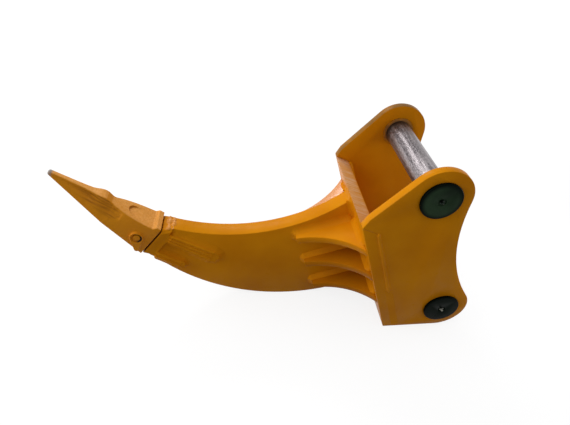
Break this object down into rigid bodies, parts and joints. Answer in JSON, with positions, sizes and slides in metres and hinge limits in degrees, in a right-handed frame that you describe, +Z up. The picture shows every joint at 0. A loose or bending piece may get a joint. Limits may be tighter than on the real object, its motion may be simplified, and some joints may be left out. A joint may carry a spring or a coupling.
{
  "type": "excavator ripper",
  "caption": "Curved excavator ripper shank with a cast tooth point, side ribs, a base plate and ears with pins for the stick and the link; tears up hard or frozen ground.",
  "frame": {"origin": "middle of the stick pin's axis, half way between the ears", "axes": "+Y runs along both pins, from the near ear to the far ear; the tooth points towards -X; +Z is up as the ripper lies on the ground"},
  "size_m": [1.2914, 0.439, 0.6451],
  "materials": {
    "body_paint": "glossy orange-yellow enamel on plate steel",
    "cast_paint": "the same enamel on a rough casting",
    "bush_steel": "turned hardened steel",
    "pin_steel": "bright ground steel, slightly mottled",
    "disc_paint": "dark green-black paint"
  },
  "bodies": {
    "root": {"base_plate": "body_paint", "near_ear": "body_paint", "far_ear": "body_paint", "near_stick_bush": "bush_steel", "far_stick_bush": "bush_steel", "near_link_bush": "bush_steel", "far_link_bush": "bush_steel", "shank": "body_paint", "near_top_rib": "body_paint", "near_middle_rib": "body_paint", "near_bottom_rib": "body_paint", "far_top_rib": "body_paint", "far_middle_rib": "body_paint", "far_bottom_rib": "body_paint", "adapter": "body_paint", "tooth_point": "cast_paint", "tooth_pin": "cast_paint", "tooth_pin_retainer": "bush_steel", "stick_pin": "pin_steel", "stick_pin_flange": "disc_paint", "stick_pin_cap": "disc_paint", "stick_cap_bolt": "pin_steel", "stick_grease_nipple": "pin_steel", "link_pin": "pin_steel", "link_pin_flange": "disc_paint", "link_pin_cap": "disc_paint", "link_cap_bolt": "pin_steel", "link_grease_nipple": "pin_steel"}
  },
  "joints": []
}
